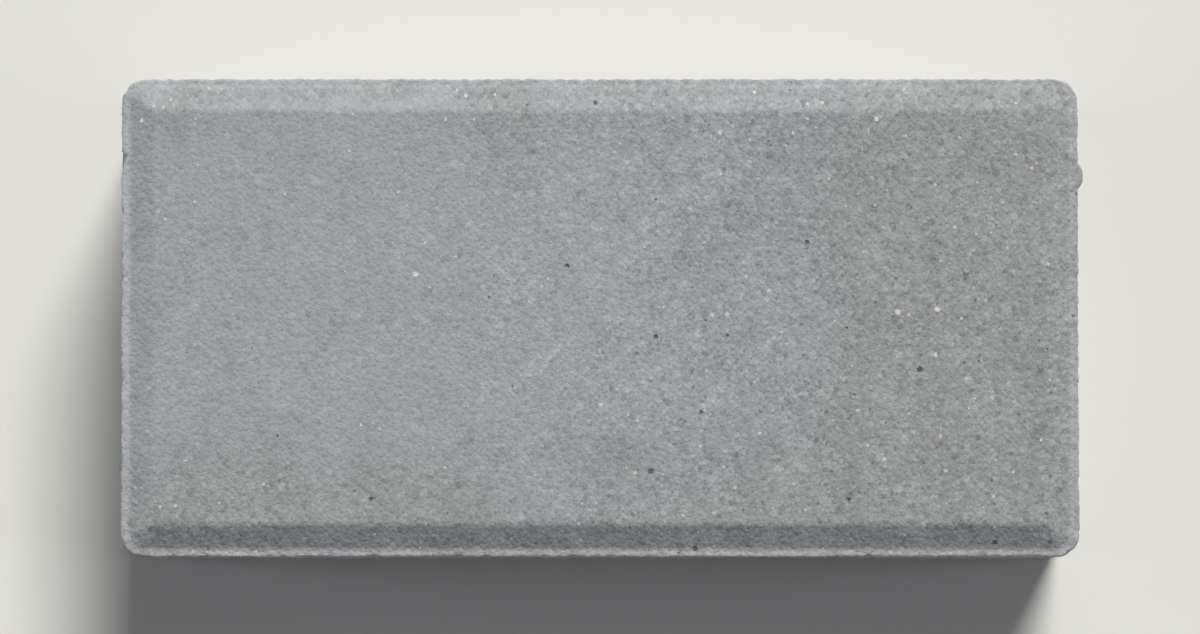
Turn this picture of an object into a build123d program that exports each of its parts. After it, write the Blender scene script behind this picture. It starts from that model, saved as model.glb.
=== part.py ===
"""A rectangular concrete paving stone, pressed in one piece.

Millimetres, +Z up. The stone lies on its bed face: the origin is the middle of that face, X runs
along the stone and Y across it.
"""

import os

from build123d import *

# Laying grid: the pitch from stone to stone, and the joints that are left open in it
MODULE_LENGTH = 200.0
MODULE_WIDTH = 100.0
END_JOINT = 2.0
SIDE_JOINT = 1.0

# The block that fills one place of the grid
THICKNESS = 60.0
CORNER_RADIUS = 5.0

# Moulded rim of the wearing face, from the outside in: a flat ledge, then the chamfer
LEDGE_WIDTH = 1.5
CHAMFER_RUN = 5.3
CHAMFER_DROP = 3.1
FACE_CORNER_RADIUS = 0.8

# Spacer nibs: one upright rib on each end, set off the middle so that two facing nibs never meet
NIB_OFFSET = 30.0
NIB_BASE = 7.0
NIB_CREST = 3.0
NIB_CLEARANCE = 0.2
NIB_DEPTH_BELOW_FACE = 10.0
NIB_TIP_SLANT = 4.0

# Worked out from the values above
LENGTH = MODULE_LENGTH - END_JOINT
WIDTH = MODULE_WIDTH - SIDE_JOINT
SHOULDER_HEIGHT = THICKNESS - CHAMFER_DROP
FACE_INSET = LEDGE_WIDTH + CHAMFER_RUN
NIB_PROJECTION = END_JOINT - NIB_CLEARANCE
NIB_HEIGHT = THICKNESS - NIB_DEPTH_BELOW_FACE


def inset_outline(inset, corner_radius):
    """The stone's plan outline, moved inwards all round."""
    return RectangleRounded(LENGTH - 2 * inset, WIDTH - 2 * inset, corner_radius)


def moulded_block():
    """The straight-sided block, up to the ledge at the foot of the chamfer."""
    return extrude(inset_outline(0, CORNER_RADIUS), amount=SHOULDER_HEIGHT)


def chamfered_cap():
    """The chamfer and the wearing face: at each corner the slope closes like a fan to a tight turn."""
    foot = inset_outline(LEDGE_WIDTH, CORNER_RADIUS - LEDGE_WIDTH)
    face = inset_outline(FACE_INSET, FACE_CORNER_RADIUS)
    return loft([Pos(Z=SHOULDER_HEIGHT) * foot, Pos(Z=THICKNESS) * face], ruled=True)


def spacer_nib():
    """One nib on the YZ plane, pointing along +X: its section, cut off by its slanted tip.

    Its root runs back behind the plane, into the block, as far as the nib stands out in front.
    """
    half_base = NIB_BASE / 2
    half_crest = NIB_CREST / 2
    section = Polygon(
        (-NIB_PROJECTION, -half_base),
        (0, -half_base),
        (NIB_PROJECTION, -half_crest),
        (NIB_PROJECTION, half_crest),
        (0, half_base),
        (-NIB_PROJECTION, half_base),
        align=None,
    )
    side_view = Polygon(
        (-NIB_PROJECTION, 0),
        (NIB_PROJECTION, 0),
        (NIB_PROJECTION, NIB_HEIGHT - NIB_TIP_SLANT),
        (0, NIB_HEIGHT),
        (-NIB_PROJECTION, NIB_HEIGHT),
        align=None,
    )
    upright = extrude(section, amount=NIB_HEIGHT)
    return upright & extrude(Plane.XZ * side_view, amount=half_base, both=True)


def paving_stone():
    """The block, its cap and its two nibs as one solid, the same again after half a turn."""
    stone = moulded_block() + chamfered_cap()
    end_nib = Pos(LENGTH / 2, NIB_OFFSET) * spacer_nib()
    for turn in (0, 180):
        stone += Rot(Z=turn) * end_nib
    return stone


os.makedirs("parts", exist_ok=True)
export_step(paving_stone(), "parts/paving_stone.step")
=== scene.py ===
# %% [markdown]
# # A concrete paving stone
#
# The stone is one block of damp concrete, shaken and pressed in a steel mould and pushed out before it
# sets. That leaves three kinds of surface: a dense face that the press head has closed, walls that were
# dragged along the mould, and a bed that stood on a board. This lesson makes the block as one closed
# mesh, roughens each kind of surface in its own way, and then gives it one concrete material.

# %% Load the frame
import math
import random

import bpy
import numpy as np
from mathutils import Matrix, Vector, noise


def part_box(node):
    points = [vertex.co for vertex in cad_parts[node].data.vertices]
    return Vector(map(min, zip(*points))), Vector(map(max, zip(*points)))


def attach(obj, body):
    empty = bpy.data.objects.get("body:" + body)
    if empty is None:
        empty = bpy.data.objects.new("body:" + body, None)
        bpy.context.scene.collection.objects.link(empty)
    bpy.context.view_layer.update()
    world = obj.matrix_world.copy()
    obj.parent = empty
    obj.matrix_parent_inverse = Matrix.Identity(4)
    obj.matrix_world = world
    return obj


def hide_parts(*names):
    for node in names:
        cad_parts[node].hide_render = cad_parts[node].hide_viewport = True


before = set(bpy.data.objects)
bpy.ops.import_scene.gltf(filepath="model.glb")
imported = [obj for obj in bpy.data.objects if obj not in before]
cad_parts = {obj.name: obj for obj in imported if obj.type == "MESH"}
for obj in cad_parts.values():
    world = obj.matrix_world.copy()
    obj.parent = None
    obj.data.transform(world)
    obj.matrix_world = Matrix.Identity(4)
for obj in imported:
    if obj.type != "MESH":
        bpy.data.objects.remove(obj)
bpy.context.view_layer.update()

# %% [markdown]
# ## The stone's sizes
#
# The frame gives the outer size, nibs included. The rim of the face and the nibs have the same named
# sizes as the solid. All of them are in millimetres, which suits a thing of this size, and the mesh is
# turned into metres once, at the end.

# %% Sizes
MM = 0.001

NIB_PROJECTION = 1.8
NIB_OFFSET = 30.0
NIB_BASE = 7.0
NIB_CREST = 3.0
NIB_DEPTH_BELOW_FACE = 10.0
NIB_TIP_SLANT = 4.0

CORNER_RADIUS = 5.0
LEDGE_WIDTH = 1.5
CHAMFER_RUN = 5.3
CHAMFER_DROP = 3.1

stone_low, stone_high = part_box("paving_stone")
LENGTH = (stone_high.x - stone_low.x) / MM - 2 * NIB_PROJECTION
WIDTH = (stone_high.y - stone_low.y) / MM
THICKNESS = (stone_high.z - stone_low.z) / MM
SHOULDER = THICKNESS - CHAMFER_DROP
FACE_INSET = LEDGE_WIDTH + CHAMFER_RUN
FACE_LENGTH = LENGTH - 2 * FACE_INSET
FACE_WIDTH = WIDTH - 2 * FACE_INSET
print(f"block {LENGTH:.1f} x {WIDTH:.1f} x {THICKNESS:.1f} mm")
print(f"face {FACE_LENGTH:.1f} x {FACE_WIDTH:.1f} mm")

# %% [markdown]
# ## Rings round the block
#
# The block could be a cube with a bevel, but a bevel gives long thin faces that can't carry a rough
# surface. So the mesh is a fine grid for the face, and then rings that run round the block: over the
# chamfer and the ledge, down the walls and in under the bed. Every ring has its points at the same
# places along the sides, so each one joins the next with plain four-sided faces.

# %% One ring's points
FACE_STEP = 0.75
CORNER_STEPS = 10


def even_steps(length, step):
    """How many steps of about this length fit, as an even number, so that half of them fit too."""
    return 2 * round(length / step / 2)


along = even_steps(FACE_LENGTH, FACE_STEP)
across = even_steps(FACE_WIDTH, FACE_STEP)


def outline(inset, radius):
    """Points once round the plan, anticlockwise from the right end's front corner."""
    half = np.array([LENGTH, WIDTH]) / 2 - inset - radius
    arcs = []
    for quarter, signs in enumerate([(1, -1), (1, 1), (-1, 1), (-1, -1)]):
        turn = np.radians(90 * (quarter - 1) + np.linspace(0, 90, CORNER_STEPS + 1))
        arcs.append(half * signs + radius * np.column_stack([np.cos(turn), np.sin(turn)]))
    points = []
    for quarter, steps in enumerate([across, along, across, along]):
        next_arc = arcs[(quarter + 1) % len(arcs)]
        points += [arcs[quarter], np.linspace(arcs[quarter][-1], next_arc[0], steps + 1)[1:-1]]
    return np.concatenate(points)


print("a ring has", len(outline(0, CORNER_RADIUS)), "points, and the face", along, "x", across, "squares")

# %% [markdown]
# ## The wearing face
#
# The face could be one flat polygon, but that has no points to roughen. A grid of squares under a
# millimetre wide has one for every coarse grain of sand. Points are stored in blocks, and whatever
# follows speaks of them by their vertex numbers.

# %% The face as a grid
places = []
faces = []


def add_points(rows):
    """Stores points and gives their vertex numbers."""
    first = sum(len(stored) for stored in places)
    places.append(np.asarray(rows, float))
    return np.arange(first, first + len(rows))


def add_grid(steps_x, steps_y, level):
    """Stores a flat grid as large as the face and gives its vertex numbers, columns along X."""
    x = np.linspace(-FACE_LENGTH / 2, FACE_LENGTH / 2, steps_x + 1)
    y = np.linspace(-FACE_WIDTH / 2, FACE_WIDTH / 2, steps_y + 1)
    grid_x, grid_y = np.meshgrid(x, y, indexing="ij")
    rows = np.column_stack([grid_x.ravel(), grid_y.ravel(), np.full(grid_x.size, level)])
    return add_points(rows).reshape(grid_x.shape)


def grid_squares(grid):
    """The faces of a grid, seen from above."""
    corners = [grid[:-1, :-1], grid[1:, :-1], grid[1:, 1:], grid[:-1, 1:]]
    return np.stack(corners, axis=-1).reshape(-1, 4).tolist()


face_grid = add_grid(along, across, THICKNESS)
faces += grid_squares(face_grid)
print("the face has", len(faces), "squares")

# %% [markdown]
# ## Chamfer, ledge and walls
#
# Round the face the mould shapes a rim: a chamfer, then a narrow flat ledge, and below it the upright
# walls. All three are rings that differ only in inset, corner radius and height, so one list of levels
# holds them. The face has sharp corners where a ring has arcs. The grid's rim therefore repeats its
# corner as often as a ring has points there, and the chamfer closes in a fan of triangles.

# %% Rings from the face to the foot
CHAMFER_RINGS = 8
LEDGE_RINGS = 3
WALL_STEP = 1.0


def add_ring(inset, radius, level, every=1):
    """Stores one ring at this height, with all its points or every second one."""
    plan = outline(inset, radius)[::every]
    return add_points(np.column_stack([plan, np.full(len(plan), level)]))


def grid_rim(grid, corner_steps):
    """The rim of a grid in the order of a ring."""
    fan = corner_steps + 1
    sides = [grid[-1, 1:-1], grid[-2:0:-1, -1], grid[0, -2:0:-1], grid[1:-1, 0]]
    corners = [grid[-1, 0], grid[-1, -1], grid[0, -1], grid[0, 0]]
    return np.concatenate([x for c, s in zip(corners, sides) for x in (np.repeat(c, fan), s)])


def join(ring, next_ring):
    """The faces between two rings: four-sided, or three-sided at a fan."""
    rows = np.column_stack([ring, next_ring, np.roll(next_ring, -1), np.roll(ring, -1)])
    return [list(dict.fromkeys(row)) for row in rows.tolist()]


levels = []
for share in np.linspace(0, 1, CHAMFER_RINGS + 1)[1:]:
    inset = FACE_INSET - share * CHAMFER_RUN
    levels.append((inset, share * (CORNER_RADIUS - LEDGE_WIDTH), THICKNESS - share * CHAMFER_DROP))
for inset in np.linspace(LEDGE_WIDTH, 0, LEDGE_RINGS + 1)[1:]:
    levels.append((inset, CORNER_RADIUS - inset, SHOULDER))
for level in np.linspace(SHOULDER, 0, round(SHOULDER / WALL_STEP) + 1)[1:]:
    levels.append((0, CORNER_RADIUS, level))

ring = grid_rim(face_grid, CORNER_STEPS)
for ring_level in levels:
    next_ring = add_ring(*ring_level)
    faces += join(ring, next_ring)
    ring = next_ring
print(len(levels), "rings lead down to the foot")

# %% [markdown]
# ## Bed
#
# The bed is the side that stood on the board, and later lies on sand. It could be closed with one
# polygon, but it is as rough as the walls. Its rings and its grid keep every second point only, because
# nobody looks there for long.

# %% Close the block below
BED_RINGS = 4
EVERY_SECOND = 2


def join_half(ring, next_ring):
    """The faces from a ring to one with half as many points."""
    a, b, c = ring[0::2], ring[1::2], np.roll(ring[0::2], -1)
    d, e = next_ring, np.roll(next_ring, -1)
    return np.concatenate([np.column_stack(t) for t in ((a, d, b), (b, d, e), (b, e, c))]).tolist()


for number, share in enumerate(np.linspace(0, 1, BED_RINGS + 1)[1:-1]):
    next_ring = add_ring(share * FACE_INSET, (1 - share) * CORNER_RADIUS, 0, EVERY_SECOND)
    faces += join(ring, next_ring) if number else join_half(ring, next_ring)
    ring = next_ring
bed_grid = add_grid(along // EVERY_SECOND, across // EVERY_SECOND, 0)
faces += join(ring, grid_rim(bed_grid, CORNER_STEPS // EVERY_SECOND))
faces += [square[::-1] for square in grid_squares(bed_grid)]

block = np.concatenate(places)
print(len(block), "points,", len(faces), "faces,", sum(len(f) - 2 for f in faces), "triangles")

# %% [markdown]
# ## Where on the block is a point?
#
# The relief differs between the face, the walls and the bed, and it is strongest at the edges. How far a
# point lies inside the plan, and which way is out, both follow from the core rectangle between the
# corner arcs: the way from the core to the point is the way out, round the corners too.

# %% Distances from the edges
TINY = 0.01

points = block.copy()
height = block[:, 2]
core = np.array([LENGTH, WIDTH]) / 2 - CORNER_RADIUS
beyond = block[:, :2] - np.clip(block[:, :2], -core, core)
reach = np.linalg.norm(beyond, axis=1)
outward = np.column_stack([beyond / np.maximum(reach, TINY)[:, None], np.zeros(len(block))])
inside = CORNER_RADIUS - reach

on_wall = (inside < TINY) & (height < SHOULDER - TINY)
on_bed = (height < TINY) & ~on_wall
on_top = ~on_wall & ~on_bed
from_arris = np.hypot(inside, height - SHOULDER)
from_foot = np.hypot(inside, height)
print("points on the top, walls and bed:", on_top.sum(), on_wall.sum(), on_bed.sum())

# %% [markdown]
# ## Spacer nibs
#
# Each end wall carries one upright rib, a spacer. It could be a body of its own that is fused on, but it
# is low and plain, so the wall's own points are moved out where it stands: as far as its flanks let them,
# or its slanted tip, whichever is less. The stone is the same after half a turn, so both nibs come from
# one formula.

# %% Move the nibs out
on_end = (inside < TINY) & (np.abs(outward[:, 0]) > 1 - TINY)
from_nib = np.abs(block[:, 1] * np.sign(block[:, 0]) - NIB_OFFSET)
flank = np.clip((NIB_BASE / 2 - from_nib) / ((NIB_BASE - NIB_CREST) / 2), 0, 1)
tip = np.clip((THICKNESS - NIB_DEPTH_BELOW_FACE - height) / NIB_TIP_SLANT, 0, 1)
nib = NIB_PROJECTION * np.minimum(flank, tip) * on_end
points += outward * nib[:, None]
print("points on the nibs:", (nib > 0).sum())

# %% [markdown]
# ## Relief of the face
#
# Dry concrete is never smooth. The press head leaves the face nearly flat, with a faint swell and the
# grain of the sand, and the ridge round it has lost grains. A displace modifier moves a whole mesh by one
# pattern. Here `mathutils.noise` gives a value for every point instead, so that each kind of surface can
# have its own sum of patterns, each at its real size in millimetres.

# %% Directions and noise
OCTAVE_FALL = 1.0
OCTAVE_STEP = 2.0

plain_mesh = bpy.data.meshes.new("plain_block")
plain_mesh.from_pydata(points.tolist(), [], faces)
normals = np.zeros(points.size)
plain_mesh.vertices.foreach_get("normal", normals)
normals = normals.reshape(-1, 3)
bpy.data.meshes.remove(plain_mesh)


def rough(size, octaves, stretch=(1, 1, 1)):
    """Fractal noise at every point, about -1 to 1, with bumps of this size."""
    spots = block / size / np.array(stretch)
    return np.array([noise.fractal(spot, OCTAVE_FALL, OCTAVE_STEP, octaves) for spot in spots])


print(f"longest normal {np.linalg.norm(normals, axis=1).max():.3f}")

# %% Swell, sand and the worn ridge
SWELL_SIZE = 42
SWELL_HEIGHT = 0.10
SAND_SIZE = 3.2
SAND_HEIGHT = 0.05
WEAR_SIZE = 3.2
WEAR_WIDTH = 0.9
WEAR_MEAN = 0.10
WEAR_SPREAD = 0.22

swell = SWELL_HEIGHT * rough(SWELL_SIZE, 2)
sand = SAND_HEIGHT * rough(SAND_SIZE, 1)
from_ridge = np.abs(inside - FACE_INSET) / WEAR_WIDTH
lost_grains = np.clip(WEAR_MEAN + WEAR_SPREAD * rough(WEAR_SIZE, 2), 0, None)
ridge_wear = lost_grains * np.exp(-from_ridge ** 2) * on_top
top_relief = swell + sand - ridge_wear
print(f"the top goes from {top_relief[on_top].min():.2f} to {top_relief[on_top].max():.2f} mm")

# %% [markdown]
# ## Relief of the walls and the bed
#
# The mould drags faint upright streaks into the walls. Between their pebbles the mix stays open, most of
# all low down, where the press is felt least. A void is wherever one more noise rises above a level, so
# raising the level towards the top closes the wall there. The bed has the same pebbles and voids, but
# they only go inwards, because it lay flat on a board.

# %% Streaks, pebbles and voids
STREAK_SIZE = 2.4
STREAK_HEIGHT = 0.12
STREAK_STRETCH = (1, 1, 18)
PEBBLE_SIZE = 4.5
PEBBLE_HEIGHT = 0.16
VOID_SIZE = 2.3
VOID_DEPTH = 1.0
VOID_STEEPNESS = 3.0
VOID_LEVEL = 0.26
VOID_LEVEL_RISE = 0.22
WALL_SET_BACK = 0.15

streaks = STREAK_HEIGHT * rough(STREAK_SIZE, 2, STREAK_STRETCH)
pebbles = PEBBLE_HEIGHT * rough(PEBBLE_SIZE, 2)
open_mix = rough(VOID_SIZE, 3)
void_level = VOID_LEVEL + VOID_LEVEL_RISE * height / THICKNESS
voids = np.clip(VOID_STEEPNESS * (open_mix - void_level), 0, VOID_DEPTH)
wall_relief = streaks + pebbles - voids - WALL_SET_BACK
bed_relief = -np.abs(pebbles) - voids
lift = np.where(on_top, top_relief, np.where(on_wall, wall_relief, bed_relief))
points += normals * lift[:, None]
print(f"noise spread {open_mix.std():.2f}, voids on {(voids[on_wall] > 0).mean():.0%} of the walls")

# %% [markdown]
# ## Crumbled edges
#
# The edges between ledge and wall, and between wall and bed, are the weakest places of the stone, and
# grains break out all along them. A bevel would make them evenly round. Instead the points near an edge
# move in by a noise with two sizes: single grains, and longer stretches that have suffered more.

# %% Crumble
CRUMBLE_REACH = 1.1
CRUMBLE_MEAN = 0.12
GRAIN_LOSS_SIZE = 1.5
GRAIN_LOSS = 0.50
STRETCH_LOSS_SIZE = 9
STRETCH_LOSS = 0.25

up = np.array([0, 0, 1])
arris_way = (outward + up) / math.sqrt(2)
foot_way = (outward - up) / math.sqrt(2)
crumbs = CRUMBLE_MEAN + GRAIN_LOSS * rough(GRAIN_LOSS_SIZE, 2) + STRETCH_LOSS * rough(STRETCH_LOSS_SIZE, 2)
crumbs = np.clip(crumbs, 0, None)
at_arris = crumbs * np.clip(1 - from_arris / CRUMBLE_REACH, 0, 1)
at_foot = crumbs * np.clip(1 - from_foot / CRUMBLE_REACH, 0, 1)
points -= arris_way * at_arris[:, None] + foot_way * at_foot[:, None]
print(f"the arris has lost {at_arris.max():.2f} mm at most")

# %% [markdown]
# ## Chips
#
# Knocks take small bites out of the upper edge. Cutting them with booleans would leave thin, untidy faces.
# A bite is a ragged ball just outside the edge instead, and every point inside it moves to its skin. The
# cube of a random number makes most bites small and a few large.

# %% Chips along the arris
CHIP_COUNT = 24
CHIP_SMALLEST = 0.5
CHIP_RANGE = 1.3
CHIP_POWER = 3
CHIP_RAGGED = 0.5
CHIP_RAGGED_SIZE = 1.3
CHIP_OUTSIDE = (0.5, 0.8)
CHIP_SEED = 11

dice = random.Random(CHIP_SEED)
arris_numbers = np.flatnonzero(from_arris < TINY)
ragged = 1 + CHIP_RAGGED * rough(CHIP_RAGGED_SIZE, 2)
bitten = np.zeros(len(points))
for chip in range(CHIP_COUNT):
    spot = dice.choice(arris_numbers)
    radius = (CHIP_SMALLEST + CHIP_RANGE * dice.random() ** CHIP_POWER) * ragged
    ball_middle = points[spot] + arris_way[spot] * radius[spot] * dice.uniform(*CHIP_OUTSIDE)
    away = points - ball_middle
    distance = np.linalg.norm(away, axis=1)
    in_ball = distance < radius
    points[in_ball] += (away * (radius / distance - 1)[:, None])[in_ball]
    bitten[in_ball] = 1
points[:, 2] = np.maximum(points[:, 2], 0)
print("points in chips:", int(bitten.sum()))

# %% [markdown]
# ## The mesh
#
# The points become one closed mesh. Four values per point go with it for the material: whether the
# texture is open, whether the point is on a wall, how deep it lies in a void, a chip or a crumbled edge,
# which the material paints as shade, and how much it belongs to the rim, which the material paints paler
# as a highlight along the ledge and the worn ridge. Such values could be painted by hand, but here the
# shapes above already know them.

# %% Build the mesh
CHIP_SHADE = 0.4
CRUMBLE_SHADE = 0.3
RIM_FADE_IN = 0.5
RIM_FADE_DOWN = 1.2
RIDGE_HIGHLIGHT = 2.5
RIDGE_WEAR_LIMIT = 0.2

# how much painted shade each point gets: deep in voids, in chips and at crumbled edges
hollow = np.where(on_top, 0, voids) + CHIP_SHADE * bitten + CRUMBLE_SHADE * (at_arris + at_foot)
# the ledge, the top of the walls and the worn ridge, painted paler as a highlight
past_ledge = np.clip(inside - LEDGE_WIDTH, 0, None) / RIM_FADE_IN
from_shoulder = (height - SHOULDER) / RIM_FADE_DOWN
rim = np.exp(-past_ledge ** 2 - from_shoulder ** 2) * (1 - bitten)
rim += RIDGE_HIGHLIGHT * np.clip(ridge_wear, 0, RIDGE_WEAR_LIMIT)
point_values = {"open_texture": ~on_top, "wall": on_wall, "hollow": np.clip(hollow, 0, 1), "rim": rim}

mesh = bpy.data.meshes.new("paving_stone")
mesh.from_pydata((points * MM).tolist(), [], faces)
mesh.polygons.foreach_set("use_smooth", np.ones(len(faces), bool))
for name, values in point_values.items():
    mesh.attributes.new(name, "FLOAT", "POINT").data.foreach_set("value", values.astype(np.float32))
mesh.update()
stone = bpy.data.objects.new("concrete_paving_stone", mesh)
bpy.context.scene.collection.objects.link(stone)
print("mesh needed repair:", mesh.validate())

# %% [markdown]
# ## Six sides laid out flat
#
# The patterns of the material need flat coordinates in millimetres, and baked textures need a map on
# which no two places overlap. Smart projection would cut the rough walls into hundreds of scraps. The
# stone has six plain sides, so each face goes to the side it lies on, and each side is laid out whole.

# %% Which side each face is on
TOP, BED, RIGHT, LEFT, BACK, FRONT = range(6)

face_sizes = np.array([len(face) for face in faces])
corners = np.concatenate(faces)
starts = np.concatenate([[0], np.cumsum(face_sizes)[:-1]])
middles = np.add.reduceat(block[corners], starts) / face_sizes[:, None]
end_side = np.where(middles[:, 0] > 0, RIGHT, LEFT)
long_side = np.where(middles[:, 1] > 0, BACK, FRONT)
nearer_long_side = WIDTH / 2 - np.abs(middles[:, 1]) < LENGTH / 2 - np.abs(middles[:, 0])
side_of_face = np.where(nearer_long_side, long_side, end_side)
side_of_face[middles[:, 2] > SHOULDER - TINY] = TOP
side_of_face[middles[:, 2] < TINY] = BED
print("faces on the six sides:", np.bincount(side_of_face))

# %% The two maps
MAP_MARGIN = 0.97
UNIT = MAP_MARGIN / (LENGTH + 2 * NIB_PROJECTION)
SIDE_SHIFT = 300
# for each side: the two coordinates that lie flat, its scale against the face's, its middle on the map
ISLANDS = {
    TOP: (0, 1, 1.0, (0.5, 0.75)),
    BED: (0, 1, 0.5, (0.252, 0.37)),
    RIGHT: (2, 1, 0.5, (0.60, 0.37)),
    LEFT: (2, 1, 0.5, (0.78, 0.37)),
    BACK: (0, 2, 0.5, (0.252, 0.13)),
    FRONT: (0, 2, 0.5, (0.75, 0.13)),
}

side_of_corner = np.repeat(side_of_face, face_sizes)
baked = np.zeros((len(corners), 2))
grain = np.zeros((len(corners), 2))
centred = block - np.array([0, 0, THICKNESS / 2])
for side, (u, v, scale, map_middle) in ISLANDS.items():
    chosen = side_of_corner == side
    baked[chosen] = centred[corners[chosen]][:, [u, v]] * scale * UNIT + map_middle
    grain[chosen] = centred[corners[chosen]][:, sorted((u, v))] + SIDE_SHIFT * side
for name, flat in (("OFBake", baked), ("grain_mm", grain)):
    mesh.uv_layers.new(name=name).data.foreach_set("uv", flat.astype(np.float32).ravel())
mesh.uv_layers.active = mesh.uv_layers["OFBake"]
print("map spans", baked.min(0).round(3), "to", baked.max(0).round(3))

# %% [markdown]
# ## Vibro-pressed concrete
#
# Grey cement, sand and fine gravel, pressed damp: a matt, mineral surface with no gloss, IOR about 1.5
# and roughness about 0.9. The eye reads it by its grain: sand that is a little lighter or darker than
# the cement round it, a few pale and dark grains, and pinholes. One noise texture would look like felt,
# so each of these is a pattern of its own, with a scale of one over its real size in millimetres. One
# small function adds a node and makes its links.

# %% Colours and nodes
MATH = "ShaderNodeMath"
VECTOR = "ShaderNodeVectorMath"
RANGE = "ShaderNodeMapRange"
NOISE = "ShaderNodeTexNoise"
CELLS = "ShaderNodeTexVoronoi"
PARTS = "ShaderNodeSeparateColor"
MIX = "ShaderNodeMix"
MIX_FACTOR, MIX_A, MIX_B, MIX_RESULT = 0, 6, 7, 2
FLAT_NOISE = {"noise_dimensions": "2D"}
FLAT_CELLS = {"voronoi_dimensions": "2D"}
SOFT = {"interpolation_type": "SMOOTHSTEP"}


def linear(code):
    """A written sRGB colour as the linear colour that a shader takes."""
    values = [int(code[i:i + 2], 16) / 255 for i in (1, 3, 5)]
    return [v / 12.92 if v <= 0.04045 else ((v + 0.055) / 1.055) ** 2.4 for v in values] + [1]


def add(tree, kind, inputs=None, **settings):
    """Adds a node and gives its outputs. An input takes a plain value or another node's output."""
    made = tree.nodes.new(kind)
    for name, value in settings.items():
        setattr(made, name, value)
    for key, value in (inputs or {}).items():
        if isinstance(value, bpy.types.NodeSocket):
            tree.links.new(value, made.inputs[key])
        else:
            made.inputs[key].default_value = value
    return made.outputs


concrete = bpy.data.materials.new("vibro_pressed_concrete")
concrete.use_nodes = True
tree = concrete.node_tree
shader = tree.nodes["Principled BSDF"]
mesh.materials.append(concrete)
print("material", concrete.name)

# %% [markdown]
# ## Where the patterns lie
#
# Slow changes of colour run through the whole stone, so they take the place in space. The grain takes
# each side's flat coordinates, which keeps it the same size on every side and in a bake. They are turned
# by an odd angle, so that no pattern lines up with the squares of the mesh.

# %% Places in millimetres
GRAIN_TURN = 0.7

object_place = add(tree, "ShaderNodeTexCoord")["Object"]
place = add(tree, VECTOR, {0: object_place, "Scale": 1 / MM}, operation="SCALE")[0]
coordinates = add(tree, "ShaderNodeSeparateXYZ", {0: place})
side_place = add(tree, "ShaderNodeUVMap", uv_map="grain_mm")[0]
turning = {0: side_place, "Angle": GRAIN_TURN}
grain_place = add(tree, "ShaderNodeVectorRotate", turning, rotation_type="Z_AXIS")[0]
is_open, is_wall, is_hollow_shade, is_rim_highlight = (
    add(tree, "ShaderNodeAttribute", attribute_name=name)["Fac"] for name in point_values
)
print("values from the mesh:", ", ".join(point_values))

# %% [markdown]
# ## Lime bloom
#
# Lime from the cement has dried on the face as a pale, bluish veil. It stops short of the right end and
# thins out at the long edges. Under it the grain hardly shows, most of all at the left. The veil could be
# one gradient, but its ends would be ruled lines, so a cloud noise moves them to and fro.

# %% Lime bloom
BARE_CEMENT = "#949597"
LIME_BLOOM = "#9c9fa4"
# coordinate, where the veil ends and where it is full, in mm
BLOOM_LIMITS = [
    ("X", 62, 2),
    ("Y", -44, -14),
    ("Y", 53, 36),
]
# the same for the part of the face where the grain hardly shows
CALM_LIMITS = [
    ("X", 45, -60),
    ("Y", -50, -22),
    ("Y", 56, 38),
]
CLOUD_SIZE = 30
CLOUD_REACH = 60

clouds = add(tree, NOISE, {"Vector": place, "Scale": 1 / CLOUD_SIZE, "Detail": 4})[0]
clouds = add(tree, MATH, {0: clouds, 1: CLOUD_REACH, 2: -CLOUD_REACH / 2}, operation="MULTIPLY_ADD")[0]


def spread(limits):
    """One where the veil is full, zero beyond its ends, with clouded edges."""
    cover = 1.0
    for axis, end, full in limits:
        moved = add(tree, MATH, {0: coordinates[axis], 1: clouds}, operation="ADD")[0]
        within = add(tree, RANGE, {"Value": moved, "From Min": end, "From Max": full}, **SOFT)[0]
        cover = add(tree, MATH, {0: within, 1: cover}, operation="MULTIPLY")[0]
    return cover


bloom = spread(BLOOM_LIMITS)
calm = spread(CALM_LIMITS)
blend = {MIX_FACTOR: bloom, MIX_A: linear(BARE_CEMENT), MIX_B: linear(LIME_BLOOM)}
colour = add(tree, MIX, blend, data_type="RGBA")[MIX_RESULT]
print(len(tree.nodes), "nodes with the bloom")

# %% [markdown]
# ## Cement paste
#
# Between the grains is cement paste. Its own grain is finer than a tenth of a millimetre, too fine to
# show, so it is drawn at half a millimetre. Over 15 mm or so the paste is a little uneven, where it had
# more or less water. A third noise puts kinks into the outlines of the grains that follow.

# %% Cement paste
PASTE_SIZE = 0.5
PASTE_CONTRAST = 0.5
PASTE_RELIEF = 0.05
MOTTLE_SIZE = 15
MOTTLE_CONTRAST = 0.32
KINK_SIZE = 0.8
KINK_REACH = (0.35, 0.35, 0.35)

paste = add(tree, NOISE, {"Vector": grain_place, "Scale": 1 / PASTE_SIZE, "Detail": 1}, **FLAT_NOISE)[0]
mottle = add(tree, NOISE, {"Vector": grain_place, "Scale": 1 / MOTTLE_SIZE, "Detail": 3}, **FLAT_NOISE)[0]
kinks = add(tree, NOISE, {"Vector": grain_place, "Scale": 1 / KINK_SIZE, "Detail": 2}, **FLAT_NOISE)
kinked_place = {0: kinks["Color"], 1: KINK_REACH, 2: grain_place}
kinked_place = add(tree, VECTOR, kinked_place, operation="MULTIPLY_ADD")[0]

relief = add(tree, MATH, {0: paste, 1: PASTE_RELIEF}, operation="MULTIPLY")[0]
paste_tone = {0: paste, 1: PASTE_CONTRAST, 2: -PASTE_CONTRAST / 2}
paste_tone = add(tree, MATH, paste_tone, operation="MULTIPLY_ADD")[0]
uneven = {0: mottle, 1: MOTTLE_CONTRAST, 2: -MOTTLE_CONTRAST / 2}
uneven = add(tree, MATH, uneven, operation="MULTIPLY_ADD")[0]
tone = add(tree, MATH, {0: paste_tone, 1: uneven}, operation="ADD")[0]
print(len(tree.nodes), "nodes with the paste")

# %% [markdown]
# ## Sand and pebbles
#
# Sand shows as soft blobs, each a little lighter or darker than the paste. Voronoi cells are a quick way
# to scatter them: a cell's distance gives the blob, and its random colour gives the blob's tone and size.
# Three sizes of sand lie over each other. Pebbles show only where the texture is open, because the press
# head covers them on the face.

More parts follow.
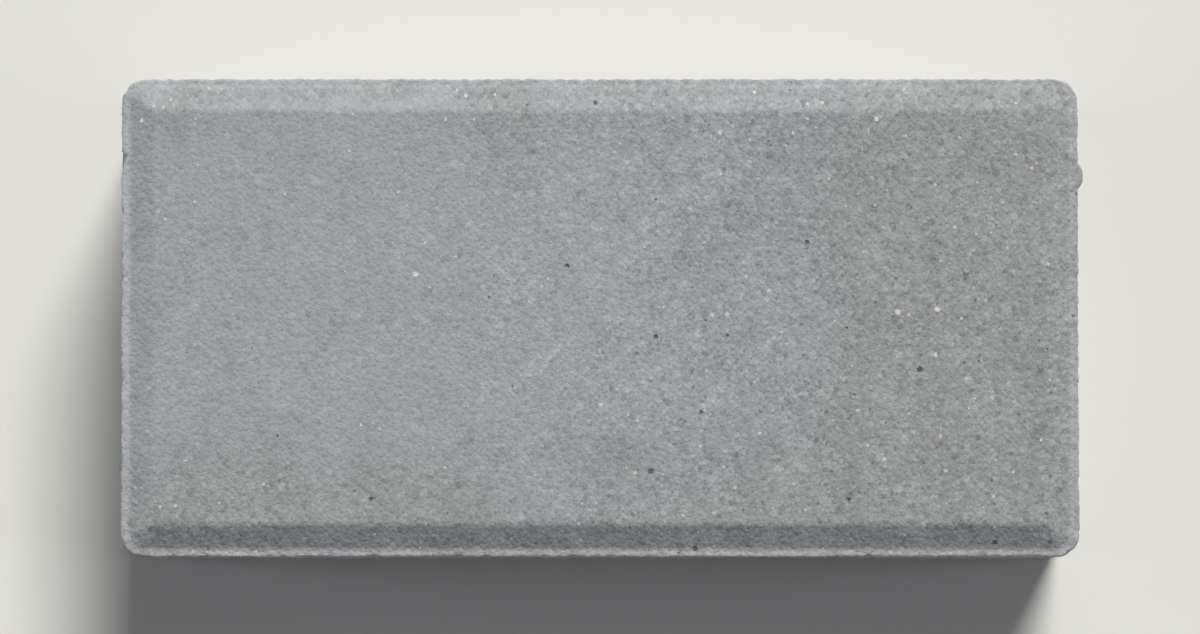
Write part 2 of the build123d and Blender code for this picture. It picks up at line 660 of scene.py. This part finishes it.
# %% Sand and pebbles
# grain size mm, contrast, relief mm, shows on the face
GRAINS = [
    (1.8, 0.46, 0, True),
    (1.05, 0.46, 0.06, True),
    (0.6, 0.26, 0, True),
    (4.6, 0.40, 0, False),
]
# a grain's outer edge and its flat middle, and how much larger it may be, as shares of its cell
GRAIN_EDGE = 0.32
GRAIN_MIDDLE = 0.12
GRAIN_VARIETY = 0.35
HALF_CHANCE = 0.5

blob_edges = {"From Min": GRAIN_EDGE, "From Max": GRAIN_MIDDLE}
for size, contrast, depth, on_face in GRAINS:
    cell = add(tree, CELLS, {"Vector": kinked_place, "Scale": 1 / size}, **FLAT_CELLS)
    chance = add(tree, PARTS, {0: cell["Color"]})
    edge = {0: chance[1], 1: -GRAIN_VARIETY, 2: cell["Distance"]}
    edge = add(tree, MATH, edge, operation="MULTIPLY_ADD")[0]
    blob = add(tree, RANGE, {"Value": edge} | blob_edges, **SOFT)[0]
    shade = add(tree, MATH, {0: chance[0], 1: HALF_CHANCE}, operation="SUBTRACT")[0]
    shade = add(tree, MATH, {0: shade, 1: blob}, operation="MULTIPLY")[0]
    if not on_face:
        shade = add(tree, MATH, {0: shade, 1: is_open}, operation="MULTIPLY")[0]
    tone = add(tree, MATH, {0: shade, 1: contrast, 2: tone}, operation="MULTIPLY_ADD")[0]
    if depth:
        relief = add(tree, MATH, {0: blob, 1: depth, 2: relief}, operation="MULTIPLY_ADD")[0]
print(len(tree.nodes), "nodes with", len(GRAINS), "sizes of grain")

# %% Calmer under the bloom, painted highlight on the rim
BARE_CONTRAST = 0.95
CALM_CONTRAST = 0.50
RIM_HIGHLIGHT = 0.26

shown = add(tree, RANGE, {"Value": calm, "To Min": BARE_CONTRAST, "To Max": CALM_CONTRAST})[0]
tone = add(tree, MATH, {0: tone, 1: shown, 2: 1.0}, operation="MULTIPLY_ADD")[0]
# a painted highlight along the ledge and the worn ridge
tone = add(tree, MATH, {0: is_rim_highlight, 1: RIM_HIGHLIGHT, 2: tone}, operation="MULTIPLY_ADD")[0]
colour = add(tree, VECTOR, {0: colour, "Scale": tone}, operation="SCALE")[0]
print(len(tree.nodes), "nodes with the tone")

# %% [markdown]
# ## Odd grains and pinholes
#
# Here and there a pale quartz grain or a dark one stands out, and air has left pinholes. They are cells
# too, but only a few cells hold one: a cell whose first random number is low gets a pale grain, and one
# where it is high gets a dark one. The calm part of the face shows a quarter of the pale ones and hardly
# any of the dark. The wider set is deep where it is dark, so those are the pinholes, and their dark colour
# is painted shade in the holes.

# %% Odd grains and pinholes
# spacing mm, radius mm, share and colour of the pale ones, share, colour and relief mm of the dark ones
ODD = [
    (2.2, 0.42, 0.13, "#c2c2bf", 0.06, "#6c6d6f", 0),
    (5.8, 0.66, 0.11, "#cececa", 0.08, "#5a5b5d", -0.30),
]
PALE_LEFT = 0.25
DARK_LEFT = 0.05
# where a spot begins and where it is full, as shares of its radius
SPOT_EDGE = -0.5
SPOT_FULL = -0.8

pale_seen = add(tree, RANGE, {"Value": calm, "To Min": 1.0, "To Max": PALE_LEFT})[0]
dark_seen = add(tree, RANGE, {"Value": calm, "To Min": 1.0, "To Max": DARK_LEFT})[0]
for spacing, radius, pale_share, pale_code, dark_share, dark_grain_and_hole_shade, depth in ODD:
    cell = add(tree, CELLS, {"Vector": kinked_place, "Scale": 1 / spacing}, **FLAT_CELLS)
    chance = add(tree, PARTS, {0: cell["Color"]})
    in_cell = radius / spacing
    size = add(tree, MATH, {0: chance[1], 1: kinks[0]}, operation="ADD")[0]
    gap = add(tree, MATH, {0: size, 1: -in_cell, 2: cell["Distance"]}, operation="MULTIPLY_ADD")[0]
    spot_edges = {"From Min": SPOT_EDGE * in_cell, "From Max": SPOT_FULL * in_cell}
    spot = add(tree, RANGE, {"Value": gap} | spot_edges)[0]
    pale = ("LESS_THAN", pale_seen, pale_share, 0, pale_code)
    # a dark grain; in the wider set, whose dark spots are pinholes, painted shade in the hole
    dark = ("GREATER_THAN", dark_seen, -dark_share, 1, dark_grain_and_hole_shade)
    for test, seen, share, start, code in (pale, dark):
        limit = add(tree, MATH, {0: seen, 1: share, 2: start}, operation="MULTIPLY_ADD")[0]
        there = add(tree, MATH, {0: chance[0], 1: limit}, operation=test)[0]
        there = add(tree, MATH, {0: there, 1: spot}, operation="MULTIPLY")[0]
        blend = {MIX_FACTOR: there, MIX_A: colour, MIX_B: linear(code)}
        colour = add(tree, MIX, blend, data_type="RGBA")[MIX_RESULT]
    if depth:
        relief = add(tree, MATH, {0: there, 1: depth, 2: relief}, operation="MULTIPLY_ADD")[0]
print(len(tree.nodes), "nodes with the odd grains")

# %% [markdown]
# ## Open texture
#
# On the walls and the bed, small gaps are left where grains meet, between the larger voids of the mesh. A
# point far from the middle of its cell is such a meeting place. Taken alone, that draws a net of cracks,
# so a patchy noise and the kinks break it up, and the wall closes a little towards the top.

# %% Gaps between the grains
GAP_SPACING = 1.7
PATCH_SIZE = 11
PATCH_SHARE = 0.8
KINK_SHARE = 0.6
CLOSER_PER_MM = -0.003
GAP_EDGE = 1.31
GAP_FULL = 1.55
GAP_DEPTH = -0.4

cell = add(tree, CELLS, {"Vector": kinked_place, "Scale": 1 / GAP_SPACING}, **FLAT_CELLS)
patchy = add(tree, NOISE, {"Vector": grain_place, "Scale": 1 / PATCH_SIZE, "Detail": 2}, **FLAT_NOISE)[0]
gaps = cell["Distance"]
for source, weight in ((patchy, PATCH_SHARE), (kinks[0], KINK_SHARE), (coordinates["Z"], CLOSER_PER_MM)):
    gaps = add(tree, MATH, {0: source, 1: weight, 2: gaps}, operation="MULTIPLY_ADD")[0]
gaps = add(tree, RANGE, {"Value": gaps, "From Min": GAP_EDGE, "From Max": GAP_FULL})[0]
gaps = add(tree, MATH, {0: gaps, 1: is_open}, operation="MULTIPLY")[0]
relief = add(tree, MATH, {0: gaps, 1: GAP_DEPTH, 2: relief}, operation="MULTIPLY_ADD")[0]
print(len(tree.nodes), "nodes with the gaps")

# %% [markdown]
# ## Mould marks and shade
#
# As the stone was pushed out, the mould drew faint upright marks down the walls: a noise that is much
# longer than wide. Gaps, voids and bruises see little light, so they are painted darker: painted shade.
# The render works out the large shadows by itself, and the small ones are painted into the colour.

# %% Mould marks and shade
DRAG_WIDTH = 1.8
DRAG_LENGTH = 30
DRAG_CONTRAST = 0.35
DRAG_MEAN = 0.5
SHADED_GAP = "#555452"
GAP_SHADE = 0.6

drag_scale = (1 / DRAG_WIDTH, 1 / DRAG_LENGTH, 1)
drawn = add(tree, VECTOR, {0: side_place, 1: drag_scale}, operation="MULTIPLY")[0]
drag = add(tree, NOISE, {"Vector": drawn, "Scale": 1, "Detail": 2}, **FLAT_NOISE)[0]
drag = add(tree, MATH, {0: drag, 1: DRAG_MEAN}, operation="SUBTRACT")[0]
drag = add(tree, MATH, {0: drag, 1: is_wall}, operation="MULTIPLY")[0]
drag = add(tree, MATH, {0: drag, 1: DRAG_CONTRAST, 2: 1.0}, operation="MULTIPLY_ADD")[0]
colour = add(tree, VECTOR, {0: colour, "Scale": drag}, operation="SCALE")[0]

# painted shade in the gaps, voids, chips and crumbled edges
darker = add(tree, MATH, {0: gaps, 1: is_hollow_shade}, operation="MAXIMUM")[0]
darker = add(tree, MATH, {0: darker, 1: GAP_SHADE}, operation="MULTIPLY")[0]
blend = {MIX_FACTOR: darker, MIX_A: colour, MIX_B: linear(SHADED_GAP)}
colour = add(tree, MIX, blend, data_type="RGBA")[MIX_RESULT]
print(len(tree.nodes), "nodes with the shade")

# %% [markdown]
# ## The shader
#
# Everything ends in one Principled shader: the colour, a roughness that follows the paste a little, and a
# bump from the relief, whose heights are in millimetres like everything else. The IOR is the same all
# over, so it is a plain value on the shader.

# %% Wire up the shader
CONCRETE_IOR = 1.5
BUMP_STRENGTH = 1.0
ROUGHNESS = {"From Min": 0.3, "From Max": 0.7, "To Min": 0.84, "To Max": 0.96}

matt = add(tree, RANGE, {"Value": paste} | ROUGHNESS)[0]
bump = add(tree, "ShaderNodeBump", {"Height": relief, "Distance": MM, "Strength": BUMP_STRENGTH})[0]
tree.links.new(colour, shader.inputs["Base Color"])
tree.links.new(matt, shader.inputs["Roughness"])
tree.links.new(bump, shader.inputs["Normal"])
shader.inputs["IOR"].default_value = CONCRETE_IOR
print(len(tree.nodes), "nodes in the concrete")

# %% [markdown]
# ## Floor
#
# A wide sheet of pale matt paper. It could be made white by more light, but that would bleach the stone
# too, so its colour makes the picture pale.

# %% Paper floor
FLOOR_HALF = 6.0
PALE = "#e4e2de"
PAPER_ROUGHNESS = 0.95

floor_mesh = bpy.data.meshes.new("floor")
floor_corners = [(x * FLOOR_HALF, y * FLOOR_HALF, 0) for x, y in ((-1, -1), (1, -1), (1, 1), (-1, 1))]
floor_mesh.from_pydata(floor_corners, [], [(0, 1, 2, 3)])
floor = bpy.data.objects.new("floor", floor_mesh)
bpy.context.scene.collection.objects.link(floor)
paper = bpy.data.materials.new("matt_paper")
paper.use_nodes = True
paper_shader = paper.node_tree.nodes["Principled BSDF"]
paper_shader.inputs["Base Color"].default_value = linear(PALE)
paper_shader.inputs["Roughness"].default_value = PAPER_ROUGHNESS
floor_mesh.materials.append(paper)
print("floor", 2 * FLOOR_HALF, "m wide")

# %% [markdown]
# ## Light
#
# One soft key from behind the stone brightens the far chamfer and leaves the near one dark. Weak fills
# from both ends and from the front, and a dim sky, keep the rest open. Suns are used because their light
# is the same all over the stone. Together they give the face one unit of light, so that its colour
# renders as it is written.

# %% Lamps
WARM = "#fefffa"
COOL = "#eff1ff"
# name, bearing in degrees from +X, height in degrees, strength, softness in degrees, colour
LAMPS = [
    ("key", 75, 45, 3.53, 22, WARM),
    ("right_fill", 0, 15, 0.62, 26, COOL),
    ("left_fill", 180, 15, 0.76, 26, COOL),
    ("front_fill", 270, 7, 0.18, 12, COOL),
]

face_light = 0
for name, bearing, lamp_height, strength, softness, code in LAMPS:
    lamp = bpy.data.lights.new(name, "SUN")
    lamp.energy = strength
    lamp.angle = math.radians(softness)
    lamp.color = linear(code)[:3]
    turned = bpy.data.objects.new(name, lamp)
    turned.rotation_euler = (0, math.radians(90 - lamp_height), math.radians(bearing))
    bpy.context.scene.collection.objects.link(turned)
    face_light += strength * math.sin(math.radians(lamp_height)) / math.pi
print(f"the lamps give the face {face_light:.2f} units of light")

# %% [markdown]
# ## Sky
#
# Behind the floor's edge the picture should be as pale as the floor, but a sky that pale would flatten
# the shadows. So the world has two backgrounds: the camera and reflections see the pale one, and the
# stone is lit by the dim one.

# %% Sky
SKY = 0.06

world = bpy.data.worlds.new("studio")
world.use_nodes = True
sky_tree = world.node_tree
sky_tree.nodes.clear()
rays = add(sky_tree, "ShaderNodeLightPath")
dim = add(sky_tree, "ShaderNodeBackground", {"Color": (1, 1, 1, 1), "Strength": SKY})[0]
seen = add(sky_tree, "ShaderNodeBackground", {"Color": linear(PALE), "Strength": 1.0})[0]
sees_pale = rays["Is Camera Ray"]
for kind in ("Is Glossy Ray", "Is Transmission Ray"):
    sees_pale = add(sky_tree, MATH, {0: sees_pale, 1: rays[kind]}, operation="MAXIMUM")[0]
mixed = add(sky_tree, "ShaderNodeMixShader", {0: sees_pale, 1: dim, 2: seen})[0]
add(sky_tree, "ShaderNodeOutputWorld", {"Surface": mixed})
bpy.context.scene.world = world
print(f"the sky adds {SKY} more")

# %% [markdown]
# ## Camera
#
# The stone is seen from almost straight above, a few degrees from its front, and from far enough away
# that the walls stay hidden. The lens follows from the distance and from how much of the picture's width
# the stone should fill.

# %% Camera
VIEW_HEIGHT = math.radians(87.5)
DISTANCE = 1.3
FILL = 0.8

camera_data = bpy.data.cameras.new("camera")
camera = bpy.data.objects.new("camera", camera_data)
target = Vector((0, 0, THICKNESS * MM))
camera.location = target + DISTANCE * Vector((0, -math.cos(VIEW_HEIGHT), math.sin(VIEW_HEIGHT)))
camera.rotation_euler = (math.pi / 2 - VIEW_HEIGHT, 0, 0)
camera_data.lens = camera_data.sensor_width * DISTANCE * FILL / (LENGTH * MM)
bpy.context.scene.collection.objects.link(camera)
bpy.context.scene.camera = camera
bpy.context.scene.view_settings.view_transform = "Standard"
print(f"lens {camera_data.lens:.0f} mm")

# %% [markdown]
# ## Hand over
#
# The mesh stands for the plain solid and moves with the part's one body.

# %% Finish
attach(stone, "root")
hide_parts("paving_stone")
